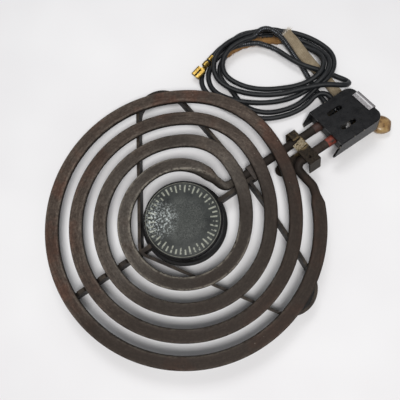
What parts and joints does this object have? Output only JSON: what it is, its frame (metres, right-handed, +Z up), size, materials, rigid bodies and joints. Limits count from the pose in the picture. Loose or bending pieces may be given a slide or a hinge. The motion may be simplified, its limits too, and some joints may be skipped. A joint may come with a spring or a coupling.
{
  "type": "cooktop coil element",
  "caption": "Plug-in sheathed-coil cooktop element with strip support, centre medallion, black receptacle block and loosely coiled braided leads ending in push-on terminals.",
  "frame": {"origin": "under the centre of the coil, on the surface that the support stands on", "axes": "+X the way the terminal legs leave the coil, +Z up"},
  "size_m": [0.2742, 0.2045, 0.03],
  "materials": {
    "sheath": "oxidised, matt, with rust-red heat stains",
    "seal_red": "matt orange-red",
    "pin": "dull plated",
    "support": "dark, heat-stained, brown along the edges",
    "clamp": "heat-browned",
    "gold_plate": "brass-plated sheet, heat-stained brown and black",
    "cap": "glossy dark blue-grey with speckled wear",
    "inlay": "pale thin line",
    "drum": "satin black",
    "hidden_steel": "plain",
    "cover": "black, fine matt texture on top, glossier sides",
    "insulator": "moulded black",
    "contact": "bright",
    "clip": "bright",
    "lead": "black braided, slightly glossy",
    "terminal_brass": "bright",
    "sleeve": "tan woven glass braid, frayed pale end"
  },
  "bodies": {
    "element": {"heating_coil": "sheath", "end_seal_inner": "seal_red", "end_seal_outer": "seal_red", "pin_inner": "pin", "pin_outer": "pin", "support_hoop": "support", "main_bar": "support", "leg_clamp": "clamp", "terminal_bracket": "gold_plate", "medallion_cap": "cap", "medallion_inlay": "inlay", "medallion_drum": "drum", "medallion_saddle": "hidden_steel", "saddle_rivets": "hidden_steel", "medallion_screw": "hidden_steel"},
    "receptacle": {"cover_shell": "cover", "insulator_block": "insulator", "insulator_screws": "hidden_steel", "contact_inner": "contact", "contact_outer": "contact", "cover_clip": "clip", "lead_a_run": "lead", "lead_b_run": "lead", "lead_a_loop": "lead", "lead_b_loop": "lead", "lead_coil": "lead", "lead_a_tail": "lead", "lead_b_tail": "lead", "quick_connect_a": "terminal_brass", "quick_connect_b": "terminal_brass", "sleeve_tan": "sleeve"}
  },
  "joints": [
    {"name": "receptacle_pull", "type": "slide", "parent": "element", "child": "receptacle", "axis": [1, 0, 0], "range_m": [0, 0.03]}
  ]
}
